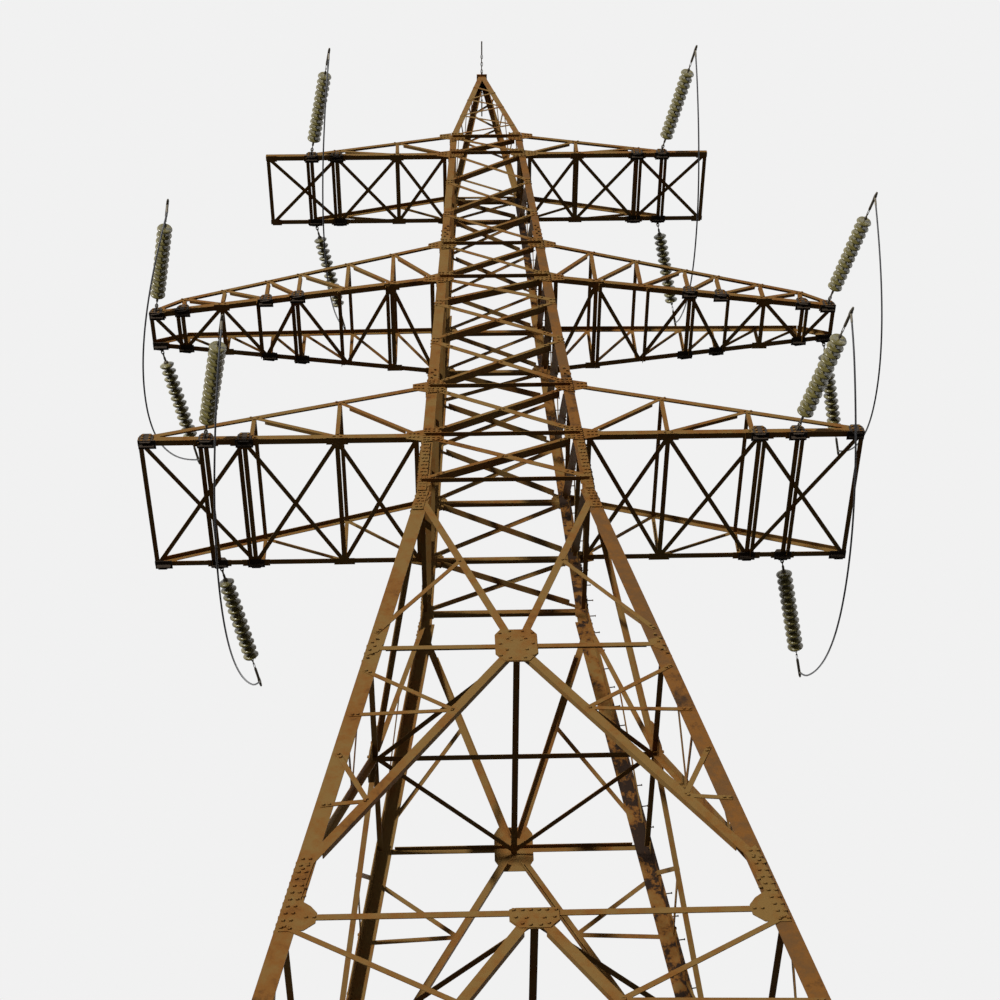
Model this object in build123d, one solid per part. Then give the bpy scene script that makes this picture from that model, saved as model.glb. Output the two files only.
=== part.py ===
from build123d import *
import math
import os

os.makedirs("parts", exist_ok=True)

# Lattice transmission pylon, double circuit, heavy angle type. Millimetres, +Z up, feet on z = 0.
# The near side faces -Y, the arms reach out along -X and +X.

# Heights above the floor
waist_z = 21750.0
waist_strut_z = waist_z + 265.0
arm_b_z = waist_z + 1460.0
arm_b_up_z = waist_z + 2830.0
arm_m_z = waist_z + 6400.0
arm_m_up_z = waist_z + 7630.0
arm_t_z = waist_z + 11465.0
arm_t_up_z = waist_z + 12300.0
apex_z = waist_z + 16500.0
gusset_1_z = waist_z - 3905.0
gusset_2_z = waist_z - 8585.0
gusset_3_z = waist_z - 14400.0
brace_gap = 650.0

# Half widths of the square plan
half_waist = 1250.0
half_top_arm = 732.0
leg_lean = 0.148
half_apex = 70.0

# Steel sections
leg_t = 16.0
leg_flange_low = 200.0
leg_flange_mid = 160.0
leg_flange_up = 125.0
bar_t = 10.0
bar_w = 75.0
light_w = 60.0
heavy_w = 110.0
strut_w = 80.0
rib = 60.0
diagonal_low_w = 90.0
diagonal_up_w = 75.0
deep_edge = 55.0
deep_flange_low = 110.0
deep_flange_up = 85.0
peak_flange = 115.0
peak_t = 8.0

# Arms, measured from the tower axis
arm_b_tip = 5360.0
arm_b_hang = 4366.0
arm_b_plate = 3800.0
arm_m_tip = 5910.0
arm_m_tip_half = 329.0
arm_t_tip = 4260.0
arm_t_hang = 3381.0
arm_t_plate = 2900.0
arm_b_post = 2440.0
arm_inner_post = 1740.0
chord_h = 100.0
chord_flange = 80.0
chord_up_w = 80.0
chord_up_flange = 60.0

# Feet
shoe = 560.0
shoe_t = 40.0
anchor_pitch = 400.0
anchor_r = 21.0
foot_gap = 0.3
seat = 0.1

# Insulator strings and jumper loops
discs = 12
disc_pitch = 127.0
disc_r = 127.0
cap_r = 45.0
bellows_sides = 4
link_in = 250.0
link_out = 530.0
jumper_r = 14.0


def half(z):
    """Half width of the square plan at height z."""
    if z >= waist_z:
        return half_waist - (half_waist - half_top_arm) * (z - waist_z) / (arm_t_z - waist_z)
    return half_waist + leg_lean * (waist_z - z)


made = {}


def save(shape, name):
    made[name] = shape


def fused(pieces):
    return (Part() + pieces).clean()


class Sheet:
    """A flat side: bars and plates laid in one layer of a sloping plane.
    Points are given as (x, z) in the tower's own frame."""

    def __init__(self, z0, z1, layer_lo, layer_hi, rib_dir):
        self.z0 = z0
        h0 = half(z0)
        h1 = half(z1)
        run = math.hypot(h0 - h1, z1 - z0)
        self.k = run / (z1 - z0)
        up = Vector(0, (h0 - h1) / run, (z1 - z0) / run)
        out = Vector(1, 0, 0).cross(up)
        self.plane = Plane(origin=(0, -h0, z0), x_dir=(1, 0, 0), z_dir=out)
        self.lo = layer_lo
        self.hi = layer_hi
        self.rib_dir = rib_dir
        self.pieces = []

    def uv(self, p):
        return (p[0], (p[1] - self.z0) * self.k)

    def block(self, a, b, side_lo, side_hi, n_lo, n_hi):
        (x0, y0), (x1, y1) = self.uv(a), self.uv(b)
        length = math.hypot(x1 - x0, y1 - y0)
        ang = math.degrees(math.atan2(y1 - y0, x1 - x0))
        place = Location(((x0 + x1) / 2, (y0 + y1) / 2, 0), (0, 0, ang))
        shift = Location((0, (side_lo + side_hi) / 2, (n_lo + n_hi) / 2))
        self.pieces.append(self.plane.location * place * shift
                           * Box(length, side_hi - side_lo, n_hi - n_lo))

    def bar(self, a, b, w=bar_w):
        self.block(a, b, -w / 2, w / 2, self.lo, self.hi)

    def angle(self, a, b, w=bar_w, flange=rib, edge=1):
        self.bar(a, b, w)
        if edge > 0:
            s0, s1 = w / 2 - bar_t, w / 2
        else:
            s0, s1 = -w / 2, -w / 2 + bar_t
        if self.rib_dir > 0:
            self.block(a, b, s0, s1, self.hi - 1, self.hi + flange)
        else:
            self.block(a, b, s0, s1, self.lo - flange, self.lo + 1)

    def tee(self, a, b, w=bar_w, flange=rib, edge=1, f0=0.1, f1=0.88):
        """Angle whose outstanding flange points into the tower and stops short of the legs."""
        self.bar(a, b, w)
        p = (a[0] + (b[0] - a[0]) * f0, a[1] + (b[1] - a[1]) * f0)
        q = (a[0] + (b[0] - a[0]) * f1, a[1] + (b[1] - a[1]) * f1)
        s1 = w / 2 if edge > 0 else -w / 2 + bar_t
        self.block(p, q, s1 - bar_t, s1, self.lo - flange, self.lo + 1)

    def plate(self, pts):
        flat = [self.uv(p) for p in pts]
        face = make_face(Polyline([(x, y, 0) for x, y in flat], close=True).edges())
        solid = extrude(face, amount=self.hi - self.lo, dir=(0, 0, 1))
        self.pieces.append(self.plane.location * Location((0, 0, self.lo)) * solid)

    def solid(self):
        return fused(self.pieces)


# Legs: angle sections that step down in width, with their heel on one straight line
def angle_prism(flange, z0, z1):
    h0, h1 = half(z0), half(z1)
    pts = [(-h0, -h0, z0), (-h0 + flange, -h0, z0), (-h0 + flange, -h0 + leg_t, z0),
           (-h0 + leg_t, -h0 + leg_t, z0), (-h0 + leg_t, -h0 + flange, z0), (-h0, -h0 + flange, z0)]
    face = make_face(Polyline(pts, close=True).edges())
    run = Vector(h0 - h1, h0 - h1, z1 - z0)
    return extrude(face, amount=run.length, dir=run.normalized())


def leg():
    z_mid = arm_b_up_z + 300
    z_up = arm_m_up_z + 500
    pieces = [angle_prism(leg_flange_low, shoe_t - 0.5, waist_z),
              angle_prism(leg_flange_mid, waist_z, z_mid),
              angle_prism(leg_flange_mid - 1, z_mid - 1, z_up),
              angle_prism(leg_flange_up, z_up - 1, arm_t_up_z)]
    hf = half(shoe_t)
    base = Pos(-hf + 120, -hf + 120, shoe_t / 2) * Box(shoe, shoe, shoe_t)
    for sx in (-1, 1):
        for sy in (-1, 1):
            hole = Pos(-hf + 120 + sx * anchor_pitch / 2, -hf + 120 + sy * anchor_pitch / 2, shoe_t / 2)
            base -= hole * Cylinder(anchor_r, shoe_t + 2)
    return fused(pieces + [base])


corner = leg()
leg_names = ["leg_near_left", "leg_near_right", "leg_far_right", "leg_far_left"]
for i, name in enumerate(leg_names):
    save(Rot(0, 0, 90 * i) * corner, name)

# Body sides above the waist: crossed diagonals between levels, struts at the arm chords
levels = [waist_strut_z, arm_b_z, arm_b_up_z, waist_z + 4250, waist_z + 5500, arm_m_z, arm_m_up_z,
          waist_z + 8840, waist_z + 10190, arm_t_z, arm_t_up_z - 60]
strut_levels = [waist_strut_z, arm_b_z, arm_b_up_z, arm_m_z, arm_m_up_z, arm_t_z, arm_t_up_z - 60]


def body_side(inside):
    if inside:
        s = Sheet(waist_z, arm_t_up_z, -leg_t - bar_t, -leg_t - seat, -1)
        inset = 62.0
    else:
        s = Sheet(waist_z, arm_t_up_z, seat, bar_t, 1)
        inset = 45.0

    def edge(side, z):
        return (side * (half(z) - inset), z)
    for z0, z1 in zip(levels[:-1], levels[1:]):
        w = diagonal_low_w if z0 < arm_m_z else diagonal_up_w
        lift = 45.0
        # Bar that rises to the right: a deeper angle on edge, its wide flange turned into the tower
        wide = deep_flange_low if z0 < arm_m_z else deep_flange_up
        s.tee(edge(-1, z0 + lift), edge(1, z1 - lift), deep_edge, wide, -1, 0.085, 0.915)
        s.bar(edge(1, z0 + lift), edge(-1, z1 - lift), w)
    for z in strut_levels:
        s.angle(edge(-1, z), edge(1, z), strut_w, edge=-1)
    for z in levels[1:-1]:
        big = z in strut_levels
        rz = 190.0 if big else 110.0
        rx = 120.0 if big else 70.0
        for side in (-1, 1):
            c = edge(side, z)
            x0 = c[0] + side * (35 if not inside else 10)
            x1 = c[0] - side * rx
            s.plate([(x0, z - rz), (x1, z - rz * 0.5), (x1, z + rz * 0.5), (x0, z + rz)])
    for side in (-1, 1):
        z = waist_strut_z
        c = edge(side, z)
        s.plate([(c[0] + side * 10, z - 200), (c[0] - side * 130, z - 120),
                 (c[0] - side * 130, z + 120), (c[0] + side * 10, z + 300)])
    return s.solid()


outer = body_side(False)
inner = body_side(True)
save(outer, "body_side_near")
save(Rot(0, 0, 90) * inner, "body_side_right")
save(Rot(0, 0, 180) * outer, "body_side_far")
save(Rot(0, 0, 270) * inner, "body_side_left")


# Splayed lower sides, in halves that meet on the centre line
def lower_half(inside):
    if inside:
        s = Sheet(0, waist_z, -leg_t - bar_t, -leg_t - seat, -1)
        inset = 75.0
    else:
        s = Sheet(0, waist_z, seat, bar_t, 1)
        inset = 60.0
    mid = -0.15

    def at(z):
        return (-(half(z) - inset), z)
    tops = [waist_z - 120, gusset_1_z - 30, gusset_2_z - 30, gusset_3_z - 30]
    g1, g2, g3 = (mid, gusset_1_z), (mid, gusset_2_z), (mid, gusset_3_z)

    def brace(a, b, w, edge=1, f1=0.92):
        if inside:
            s.angle(a, b, w, edge=edge)
        else:
            s.tee(a, b, w, edge=edge, f0=0.03, f1=f1)

    def strut(a, b):
        if inside:
            s.angle(a, b, strut_w, edge=-1)
        else:
            s.tee(a, b, strut_w, f1=1.0)
    # Upper panel: brace from the waist down to the first gusset
    brace((-40, gusset_1_z + 60), at(waist_z - 150), 100, edge=-1, f1=0.86)
    strut(at(gusset_1_z), g1)
    node = lambda p, q, f: (p[0] + (q[0] - p[0]) * f, p[1] + (q[1] - p[1]) * f)
    up_mid = node(at(waist_z - 150), (-40, gusset_1_z + 60), 0.47)
    s.bar(up_mid, at(gusset_1_z + 330), light_w)
    # Panels below: heavy brace down to the leg, short redundants back to the leg
    for top, low, parts in ((gusset_1_z, gusset_2_z, 2), (gusset_2_z, gusset_3_z, 3)):
        foot = at(low + brace_gap)
        head = (-60, top - 80)
        brace(head, foot, heavy_w)
        strut(at(low), (mid, low))
        for i in range(parts):
            f = (i + 0.75) / (parts + 0.45)
            p = node(head, foot, f)
            z_leg = top - 120 + (foot[1] - top + 120) * (f - 0.22)
            s.bar(p, at(z_leg), light_w)
            s.bar(p, at(p[1] - 60), light_w)
    head = (-60, gusset_3_z - 80)
    foot = at(shoe_t + 420)
    brace(head, foot, heavy_w)
    for i in range(4):
        f = (i + 0.7) / 4.6
        p = node(head, foot, f)
        z_leg = gusset_3_z - 120 + (foot[1] - gusset_3_z + 120) * (f - 0.17)
        s.bar(p, at(z_leg), light_w)
        s.bar(p, at(p[1] - 60), light_w)
    # Half of each octagonal plate, and the plates on the leg
    for z, r, above, below in ((gusset_1_z, 260.0, 350.0, 330.0), (gusset_2_z, 250.0, 70.0, 220.0),
                               (gusset_3_z, 270.0, 70.0, 240.0)):
        s.plate([(mid, z - below), (-r * 0.6, z - below), (-r, z - below * 0.5), (-r, z + above * 0.7),
                 (-r * 0.75, z + above), (mid, z + above)])
    for z in (gusset_2_z, gusset_3_z):
        a, b = at(z - 190), at(z + brace_gap + 300)
        s.plate([(a[0] - 20, a[1]), (a[0] + 230, a[1] + 10), (a[0] + 340, z - 80), (a[0] + 350, z + 60),
                 (a[0] + 280, z + 160), (a[0] + 170, z + 250), (b[0] + 110, b[1] - 100), (b[0] - 20, b[1])])
    for z, r in ((waist_z - 240, 170.0), (gusset_1_z, 150.0), (shoe_t + 480, 260.0)):
        a, b = at(z - r), at(z + r)
        s.plate([(a[0] - 20, a[1]), (a[0] + 110, a[1] + r * 0.5), (b[0] + 130, b[1] - r * 0.4),
                 (b[0] - 20, b[1])])
    left_of_centre = Pos(-5000 + mid, 0, waist_z / 2) * Box(10000, 12000, waist_z + 2000)
    return s.solid() & left_of_centre


outer = lower_half(False)
inner = lower_half(True)
for name, turn, half_side in (("near", 0, outer), ("right", 90, inner),
                              ("far", 180, outer), ("left", 270, inner)):
    save(Rot(0, 0, turn) * half_side, "lower_side_" + name + "_a")
    save(Rot(0, 0, turn) * mirror(half_side, about=Plane.YZ), "lower_side_" + name + "_b")


# Level frames across the shaft
def level_frame(z, w):
    reach_y = half(z) - 0.5
    reach_x = half(z) - leg_t - bar_t - 0.5
    pieces = []

    def bar(a, b, width):
        length = math.hypot(b[0] - a[0], b[1] - a[1])
        ang = math.degrees(math.atan2(b[1] - a[1], b[0] - a[0]))
        pieces.append(Location(((a[0] + b[0]) / 2, (a[1] + b[1]) / 2, z - bar_t / 2), (0, 0, ang))
                      * Box(length, width, bar_t))
    bar((0, -reach_y), (0, reach_y), w)
    bar((-reach_x, 0), (reach_x, 0), w)
    corners = [(0, 60 - reach_y), (reach_x - 60, 0), (0, reach_y - 60), (60 - reach_x, 0)]
    for a, b in zip(corners, corners[1:] + corners[:1]):
        bar(a, b, w * 0.8)
    return fused(pieces)


for name, z in (("level_frame_1", gusset_1_z), ("level_frame_2", gusset_2_z), ("level_frame_3", gusset_3_z)):
    save(level_frame(z - 60, 80), name)


# Peak
def peak():
    z0 = arm_t_up_z + foot_gap
    h0 = half(z0)
    pieces = []
    fl = peak_flange
    t = peak_t
    for q in range(4):
        pts = [(-h0, -h0, z0), (-h0 + fl, -h0, z0), (-h0 + fl, -h0 + t, z0),
               (-h0 + t, -h0 + t, z0), (-h0 + t, -h0 + fl, z0), (-h0, -h0 + fl, z0)]
        face = make_face(Polyline(pts, close=True).edges())
        run = Vector(h0 - half_apex, h0 - half_apex, apex_z - 20 - z0)
        pieces.append(Rot(0, 0, 90 * q) * extrude(face, amount=run.length, dir=run.normalized()))
    pieces.append(Pos(0, 0, apex_z - 20) * Box(220, 220, 40))
    rise = apex_z - z0
    run = math.hypot(h0 - half_apex, rise)
    out = Vector(1, 0, 0).cross(Vector(0, (h0 - half_apex) / run, rise / run))
    plane = Plane(origin=(0, -h0, z0), x_dir=(1, 0, 0), z_dir=out)

    def pt(side, f):
        hw = h0 + (half_apex - h0) * f
        return (side * (hw - 20), f * run)
    hops = [0.02, 0.17, 0.32, 0.46, 0.58, 0.70, 0.80]
    for q in range(4):
        side = 1 if q % 2 else -1
        for i in range(len(hops) - 1):
            a, b = pt(side, hops[i]), pt(-side, hops[i + 1])
            side = -side
            length = math.hypot(b[0] - a[0], b[1] - a[1])
            ang = math.degrees(math.atan2(b[1] - a[1], b[0] - a[0]))
            middle = ((a[0] + b[0]) / 2, (a[1] + b[1]) / 2, t / 2 - 0.5)
            bar = Location(middle, (0, 0, ang)) * Box(length, 55, t + 1)
            pieces.append(Rot(0, 0, 90 * q) * (plane.location * bar))
        a, b = pt(-1, 0.012), pt(1, 0.012)
        bar = Location((0, a[1], t / 2 - 0.5)) * Box(b[0] - a[0], 60, t + 1)
        pieces.append(Rot(0, 0, 90 * q) * (plane.location * bar))
    return fused(pieces)


save(peak(), "earth_wire_peak")


# Cross-arms: two sloping side trusses joined by cross struts, and a flat frame under their lower chords
class Truss:
    """Side truss of a right-hand arm, near side, in the plane of its lower chord and its upper root."""

    def __init__(self, z_low, z_up, tip_x, tip_half):
        h0, h1 = half(z_low), half(z_up)
        self.o = Vector(h0, -h0, z_low)
        self.tip = Vector(tip_x, -tip_half, z_low)
        self.root = Vector(h1, -h1, z_up)
        self.ex = (self.tip - self.o).normalized()
        out = self.ex.cross(self.root - self.o).normalized()
        self.plane = Plane(origin=self.o, x_dir=self.ex, z_dir=out)
        self.ey = out.cross(self.ex)
        self.pieces = []
        self.z_low = z_low

    def low(self, x):
        """Local point on the lower chord at tower x."""
        s = (x - self.o.X) / self.ex.X
        return (s, 0.0)

    def local(self, p):
        d = p - self.o
        return (d.dot(self.ex), d.dot(self.ey))

    def world(self, q):
        return self.o + self.ex * q[0] + self.ey * q[1]

    def block(self, a, b, s0, s1, n0, n1):
        length = math.hypot(b[0] - a[0], b[1] - a[1])
        ang = math.degrees(math.atan2(b[1] - a[1], b[0] - a[0]))
        place = Location(((a[0] + b[0]) / 2, (a[1] + b[1]) / 2, 0), (0, 0, ang))
        shift = Location((0, (s0 + s1) / 2, (n0 + n1) / 2))
        self.pieces.append(self.plane.location * place * shift * Box(length, s1 - s0, n1 - n0))

    def bar(self, a, b, w):
        self.block(a, b, -w / 2, w / 2, -bar_t, 0)

    def angle(self, a, b, w, flange, edge):
        self.bar(a, b, w)
        s0 = -w / 2 if edge < 0 else w / 2 - bar_t
        self.block(a, b, s0, s0 + bar_t, -bar_t - flange, -bar_t + 1)

    def plate(self, pts):
        face = make_face(Polyline([(x, y, 0) for x, y in pts], close=True).edges())
        self.pieces.append(self.plane.location * Location((0, 0, -bar_t))
                           * extrude(face, amount=bar_t, dir=(0, 0, 1)))


def lerp(a, b, f):
    return (a[0] + (b[0] - a[0]) * f, a[1] + (b[1] - a[1]) * f)


def root_plate(t, q, rise, reach):
    """Plate whose short edge runs along the leg, at a hair's gap from it."""
    lean = (t.local(t.root)[0]) / t.local(t.root)[1]
    x_at = lambda y: q[0] + (y - q[1]) * lean + foot_gap + 0.2 + bar_t * t.ex.Y
    return [(x_at(q[1] - rise), q[1] - rise), (q[0] + reach, q[1] - rise * 0.55),
            (q[0] + reach, q[1] + rise * 0.55), (x_at(q[1] + rise), q[1] + rise)]


def side_truss(z_low, z_up, tip_x, tip_half, posts, meet_x, knee=None, web=light_w):
    t = Truss(z_low, z_up, tip_x, tip_half)
    tip = t.low(tip_x)
    meet = t.low(meet_x)
    root = t.local(t.root)
    swing = 90.0 * t.ex.Y
    start = (6.0 + swing, 0.0)
    end_up = (meet[0], 45.0)
    up_pts = [(root[0] + 22 + swing, root[1] - 4)] + ([knee] if knee else []) + [end_up]
    t.angle(start, tip, chord_h, chord_flange, -1)
    for a, b in zip(up_pts[:-1], up_pts[1:]):
        t.angle(a, b, chord_up_w, chord_up_flange, 1)

    def upper(s):
        for a, b in zip(up_pts[:-1], up_pts[1:]):
            if s <= b[0]:
                return lerp(a, b, (s - a[0]) / (b[0] - a[0]))
        return up_pts[-1]
    foot = (70.0 + swing, 20.0)
    tops = []
    for x in posts:
        s = t.low(x)
        u = upper(s[0])
        t.bar(s, u, web)
        t.bar(foot, u, web)
        foot = s
        tops.append(u)
    t.plate(root_plate(t, root, 150.0, 220.0))
    t.plate(root_plate(t, (0.0, 0.0), 150.0, 240.0))
    t.plate([(meet[0] - 200, -50), (meet[0] + 60, -50), (meet[0] + 60, 50), (meet[0] - 20, 95),
             (meet[0] - 200, 110)])
    return t, tops


def truss_pair(z_low, z_up, tip_x, tip_half, posts, meet_x, knee=None):
    """Near truss, far truss and the cross struts between their upper chords, as separate solids."""
    t, tops = side_truss(z_low, z_up, tip_x, tip_half, posts, meet_x, knee)
    near = fused(t.pieces)
    solids = [near, mirror(near, about=Plane.XZ)]
    for u in tops[:2]:
        w = t.world(u)
        reach = abs(w.Y) - bar_t - 0.5
        solids.append(Pos(w.X, 0, w.Z - 5) * Box(60, 2 * reach, bar_t))
    return Compound(children=[p.solid() if isinstance(p, Part) else p for p in solids])


def chord_y(x, z_low, tip_x, tip_half):
    h0 = half(z_low)
    return h0 + (tip_half - h0) * (x - h0) / (tip_x - h0)


def lower_frame(z_low, tip_x, tip_half, bars, struts, plates, drop=4.3):
    top = z_low - chord_h / 2 - drop
    pieces = []
    y_at = lambda x, s: s * (chord_y(x, z_low, tip_x, tip_half) - 42)

    def bar(a, b, w):
        length = math.hypot(b[0] - a[0], b[1] - a[1])
        ang = math.degrees(math.atan2(b[1] - a[1], b[0] - a[0]))
        pieces.append(Location(((a[0] + b[0]) / 2, (a[1] + b[1]) / 2, top - bar_t / 2), (0, 0, ang))
                      * Box(length, w, bar_t))
    for (x0, s0), (x1, s1) in bars:
        bar((x0, y_at(x0, s0)), (x1, y_at(x1, s1)), 65)
    for x in struts:
        bar((x, y_at(x, -1) - 20), (x, y_at(x, 1) + 20), 70)
    for x, w in plates:
        for s in (-1, 1):
            pieces.append(Pos(x, y_at(x, s), top - bar_t / 2) * Box(w, 120, bar_t))
    return fused(pieces)


def cross(x0, x1):
    return [((x0, -1), (x1, 1)), ((x0, 1), (x1, -1))]


root_b = half(arm_b_z) + 90
root_m = half(arm_m_z) + 90
root_t = half(arm_t_z) + 90
arms = {}
arms["bottom"] = (truss_pair(arm_b_z, arm_b_up_z, arm_b_tip, half(arm_b_z), [arm_b_post, 3700],
                             arm_b_tip - 120),
                  lower_frame(arm_b_z, arm_b_tip, half(arm_b_z),
                              cross(root_b, arm_b_post) + cross(arm_b_post, arm_b_plate)
                              + cross(arm_b_plate, arm_b_tip - 60),
                              [root_b, arm_b_post, arm_b_plate, arm_b_hang, arm_b_tip - 45],
                              [(arm_b_post, 320), (arm_b_plate, 420), (arm_b_hang, 360),
                               (arm_b_tip - 120, 200)]))
zig = [(root_m, 1), (arm_inner_post, -1), (2560, 1), (3360, -1), (3950, 1), (4650, -1), (5330, 1),
       (arm_m_tip - 80, -1)]
arms["middle"] = (truss_pair(arm_m_z, arm_m_up_z, arm_m_tip, arm_m_tip_half,
                             [arm_inner_post, 2520, 3350, 3900, 4650, 5330], arm_m_tip - 60, (4440.0, 330.0)),
                  lower_frame(arm_m_z, arm_m_tip, arm_m_tip_half, list(zip(zig[:-1], zig[1:])),
                              [root_m, arm_inner_post, 3360, 4650, 5330, arm_m_tip - 45],
                              [(arm_inner_post, 260), (3360, 260), (4650, 260), (arm_m_tip - 150, 280)], 5.4))
arms["top"] = (truss_pair(arm_t_z, arm_t_up_z, arm_t_tip, half(arm_t_z), [arm_inner_post, arm_t_plate],
                          arm_t_hang),
               lower_frame(arm_t_z, arm_t_tip, half(arm_t_z),
                           cross(root_t, arm_inner_post) + cross(arm_inner_post, arm_t_plate)
                           + cross(arm_t_plate, arm_t_tip - 60),
                           [root_t, arm_inner_post, arm_t_plate, arm_t_hang, arm_t_tip - 45],
                           [(arm_inner_post, 260), (arm_t_plate, 340), (arm_t_hang, 300),
                            (arm_t_tip - 120, 180)]))
for name, (trusses, frame) in arms.items():
    save(trusses, "arm_" + name + "_right_trusses")
    save(Rot(0, 0, 180) * trusses, "arm_" + name + "_left_trusses")
    save(frame, "arm_" + name + "_right_frame")
    save(mirror(frame, about=Plane.YZ), "arm_" + name + "_left_frame")


# Insulator strings: faceted, twelve discs each, with a link at the arm and a long dead end beyond
def bellows():
    sides = bellows_sides
    rings = [(0.0, cap_r)]
    for i in range(discs):
        rings.append(((i + 0.42) * disc_pitch, disc_r))
        rings.append(((i + 1) * disc_pitch, cap_r))

    def ring(x, r):
        return [Vector(x, r * math.cos(2 * math.pi * k / sides), r * math.sin(2 * math.pi * k / sides))
                for k in range(sides)]
    loops = [ring(x, r) for x, r in rings]
    faces = []
    for a, b in zip(loops[:-1], loops[1:]):
        for k in range(sides):
            m = (k + 1) % sides
            faces.append(Face(Wire.make_polygon([a[k], a[m], b[m], b[k]], close=True)))
    faces.append(Face(Wire.make_polygon(loops[0], close=True)))
    faces.append(Face(Wire.make_polygon(loops[-1], close=True)))
    return Solid(Shell(faces))


string_len = discs * disc_pitch
string_yaw = 12.0
string_dip = 8.0


def string_set():
    x0 = link_in
    x1 = x0 + string_len
    one = bellows()
    link = Pos(x0 / 2 - 5, 0, 0) * Box(x0 + 20, 40, 40)
    rod = Pos(x1 + 100, 0, 0) * Box(220, 34, 34)
    clamp = Pos(x1 + link_out / 2 + 110, 0, 0) * Box(link_out - 140, 46, 46)
    return Part() + [Pos(x0, 0, 0) * one, link, rod, clamp]


hung = string_set()


def clamp_point(x, y, z):
    """Where the jumper's lug leaves the outer clamp of a near-side set."""
    d = link_in + string_len + link_out - 60
    c = math.cos(math.radians(string_dip))
    a = math.radians(string_yaw)
    drop = d * math.sin(math.radians(string_dip))
    return Vector(x + d * c * math.sin(a), y - 45 - d * c * math.cos(a), z - drop)


lug_len = 150.0
lug_dir = Vector(0, math.sin(math.radians(35)), -math.cos(math.radians(35)))


def placed_set(x, y, z):
    """Near-side set: shackle on the outer face of the lower chord, lug for the jumper at the far end."""
    aim = Location((0, 0, 0), (0, 0, -90 + string_yaw))
    set_at = Pos(x, y - 45, z) * (aim * (Rot(0, string_dip, 0) * hung))
    shackle = Pos(x, y - 32.5 - foot_gap, z) * Box(70, 65, 60)
    mid = clamp_point(x, y, z) + lug_dir * (lug_len / 2)
    lug = Location((mid.X, mid.Y, mid.Z), (35, 0, 0)) * Box(36, 36, lug_len)
    return Part() + [set_at, shackle, lug]


arm_m_hang = arm_m_tip - 130
arm_m_hang_y = chord_y(arm_m_hang, arm_m_z, arm_m_tip, arm_m_tip_half) + 6.4
hang_points = {"bottom": (arm_b_hang, half(arm_b_z) + 1.7, arm_b_z),
               "middle": (arm_m_hang, arm_m_hang_y, arm_m_z),
               "top": (arm_t_hang, half(arm_t_z) + 1.7, arm_t_z)}
sag = 1750.0
jumper_sides = 6
jumper_runs = 18
jumper_swing = {"bottom": 5.0, "middle": 14.0, "top": 5.0}


def jumper_points(end, swing):
    """Control points of a hanging loop from the near clamp to its mirror image on the far side.
    The loop's plane is swung outward about the line through its two ends."""
    first = end + lug_dir * 330.0
    low = end.Z - sag
    pts = [end, first]
    n = jumper_runs - 2
    for i in range(1, n):
        u = -1 + 2 * i / n
        pts.append(Vector(end.X, first.Y * -u, low + (first.Z - low) * abs(u) ** 2.1))
    pts += [Vector(first.X, -first.Y, first.Z), Vector(end.X, -end.Y, end.Z)]
    c = math.cos(math.radians(swing))
    t = math.sin(math.radians(swing))
    return [Vector(end.X + (p.Z - end.Z) * t, p.Y, end.Z + (p.Z - end.Z) * c) for p in pts]


def jumper(end, swing):
    """Many-run tube with mitred joints, few-sided, in one plane."""
    pts = jumper_points(end, swing)
    dirs = [(b - a).normalized() for a, b in zip(pts[:-1], pts[1:])]
    loops = []
    for i, p in enumerate(pts):
        d0 = dirs[max(i - 1, 0)]
        d1 = dirs[min(i, len(dirs) - 1)]
        axis = (d0 + d1).normalized()
        stretch = 1 / max(axis.dot(d0), 0.5)
        side = Vector(math.cos(math.radians(swing)), 0, -math.sin(math.radians(swing)))
        up = axis.cross(side).normalized() * stretch
        loops.append([p + side * (jumper_r * math.cos(2 * math.pi * k / jumper_sides))
                      + up * (jumper_r * math.sin(2 * math.pi * k / jumper_sides))
                      for k in range(jumper_sides)])
    faces = []
    for a, b in zip(loops[:-1], loops[1:]):
        for k in range(jumper_sides):
            m = (k + 1) % jumper_sides
            faces.append(Face(Wire.make_polygon([a[k], a[m], b[m], b[k]], close=True)))
    faces.append(Face(Wire.make_polygon(loops[0], close=True)))
    faces.append(Face(Wire.make_polygon(loops[-1], close=True)))
    return Solid(Shell(faces))


for name, (x, y, z) in hang_points.items():
    for side, s in (("right", 1), ("left", -1)):
        near = placed_set(s * x, -y, z)
        far = mirror(near, about=Plane.XZ)
        save(Compound(children=[near, far]), "strings_" + name + "_" + side)
        swing = jumper_swing[name] if side == "left" else 0.0
        start = clamp_point(s * x, -y, z) + lug_dir * (lug_len + foot_gap)
        save(jumper(start, swing), "jumper_" + name + "_" + side)


# Earth-wire dead ends at the peak, with the bridge wire that arches over it
def earth_fittings():
    pieces = []
    reach = 760.0
    for s in (-1, 1):
        pieces.append(Pos(0, s * (110 + foot_gap + reach / 2), apex_z - 20) * Box(34, reach, 34))
        pieces.append(Pos(0, s * (110 + foot_gap + reach - 60), apex_z + 20) * Box(30, 40, 110))
    y = 110 + foot_gap + reach - 60
    pts = [(0, -y, apex_z + 60), (0, -y * 0.62, apex_z + 330), (0, 0, apex_z + 470),
           (0, y * 0.62, apex_z + 330), (0, y, apex_z + 60)]
    path = FilletPolyline(*pts, radius=250)
    start = Plane(origin=path @ 0, z_dir=path % 0)
    pieces.append(sweep(start * RegularPolygon(9, 6), path=path))
    return fused(pieces)


save(earth_fittings(), "earth_wire_fittings")


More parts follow.
